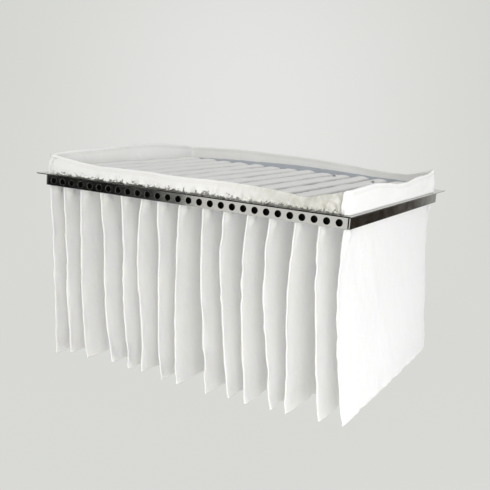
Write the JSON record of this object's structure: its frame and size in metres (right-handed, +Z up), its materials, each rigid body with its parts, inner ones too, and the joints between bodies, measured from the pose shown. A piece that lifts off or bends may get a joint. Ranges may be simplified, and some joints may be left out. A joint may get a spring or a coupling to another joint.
{
  "type": "bag air filter",
  "caption": "Dust filter cassette: flat felt pockets hang side by side from a flanged steel frame with perforated rails, inside a standing felt collar.",
  "frame": {"origin": "underside of the rear flange, at its middle, where the filter rests on its housing", "axes": "+X along the perforated front rail to the right, +Y from the front rail to the rear flange, +Z up, from the pockets to the collar"},
  "size_m": [0.7722, 0.69, 0.4678],
  "materials": {
    "polished_steel": "polished stainless sheet",
    "bar_steel": "mill-finish flat bar",
    "white_felt": "needled felt, singed smooth",
    "inner_felt": "needled felt"
  },
  "bodies": {
    "root": {"back_rail": "polished_steel", "collar": "white_felt", "flange_plate": "polished_steel", "front_rail": "polished_steel", "left_end_band": "polished_steel", "mouth_band_01": "inner_felt", "mouth_band_02": "inner_felt", "mouth_band_03": "inner_felt", "mouth_band_04": "inner_felt", "mouth_band_05": "inner_felt", "mouth_band_06": "inner_felt", "mouth_band_07": "inner_felt", "mouth_band_08": "inner_felt", "mouth_band_09": "inner_felt", "mouth_band_10": "inner_felt", "mouth_band_11": "inner_felt", "mouth_band_12": "inner_felt", "mouth_band_13": "inner_felt", "mouth_band_14": "inner_felt", "pocket_01": "white_felt", "pocket_02": "white_felt", "pocket_03": "white_felt", "pocket_04": "white_felt", "pocket_05": "white_felt", "pocket_06": "white_felt", "pocket_07": "white_felt", "pocket_08": "white_felt", "pocket_09": "white_felt", "pocket_10": "white_felt", "pocket_11": "white_felt", "pocket_12": "white_felt", "pocket_13": "white_felt", "pocket_14": "white_felt", "pocket_15": "white_felt", "right_end_band": "polished_steel", "support_bar_01": "bar_steel", "support_bar_02": "bar_steel", "support_bar_03": "bar_steel", "support_bar_04": "bar_steel", "support_bar_05": "bar_steel", "support_bar_06": "bar_steel", "support_bar_07": "bar_steel", "support_bar_08": "bar_steel", "support_bar_09": "bar_steel", "support_bar_10": "bar_steel", "support_bar_11": "bar_steel", "support_bar_12": "bar_steel", "support_bar_13": "bar_steel", "support_bar_14": "bar_steel"}
  },
  "joints": []
}
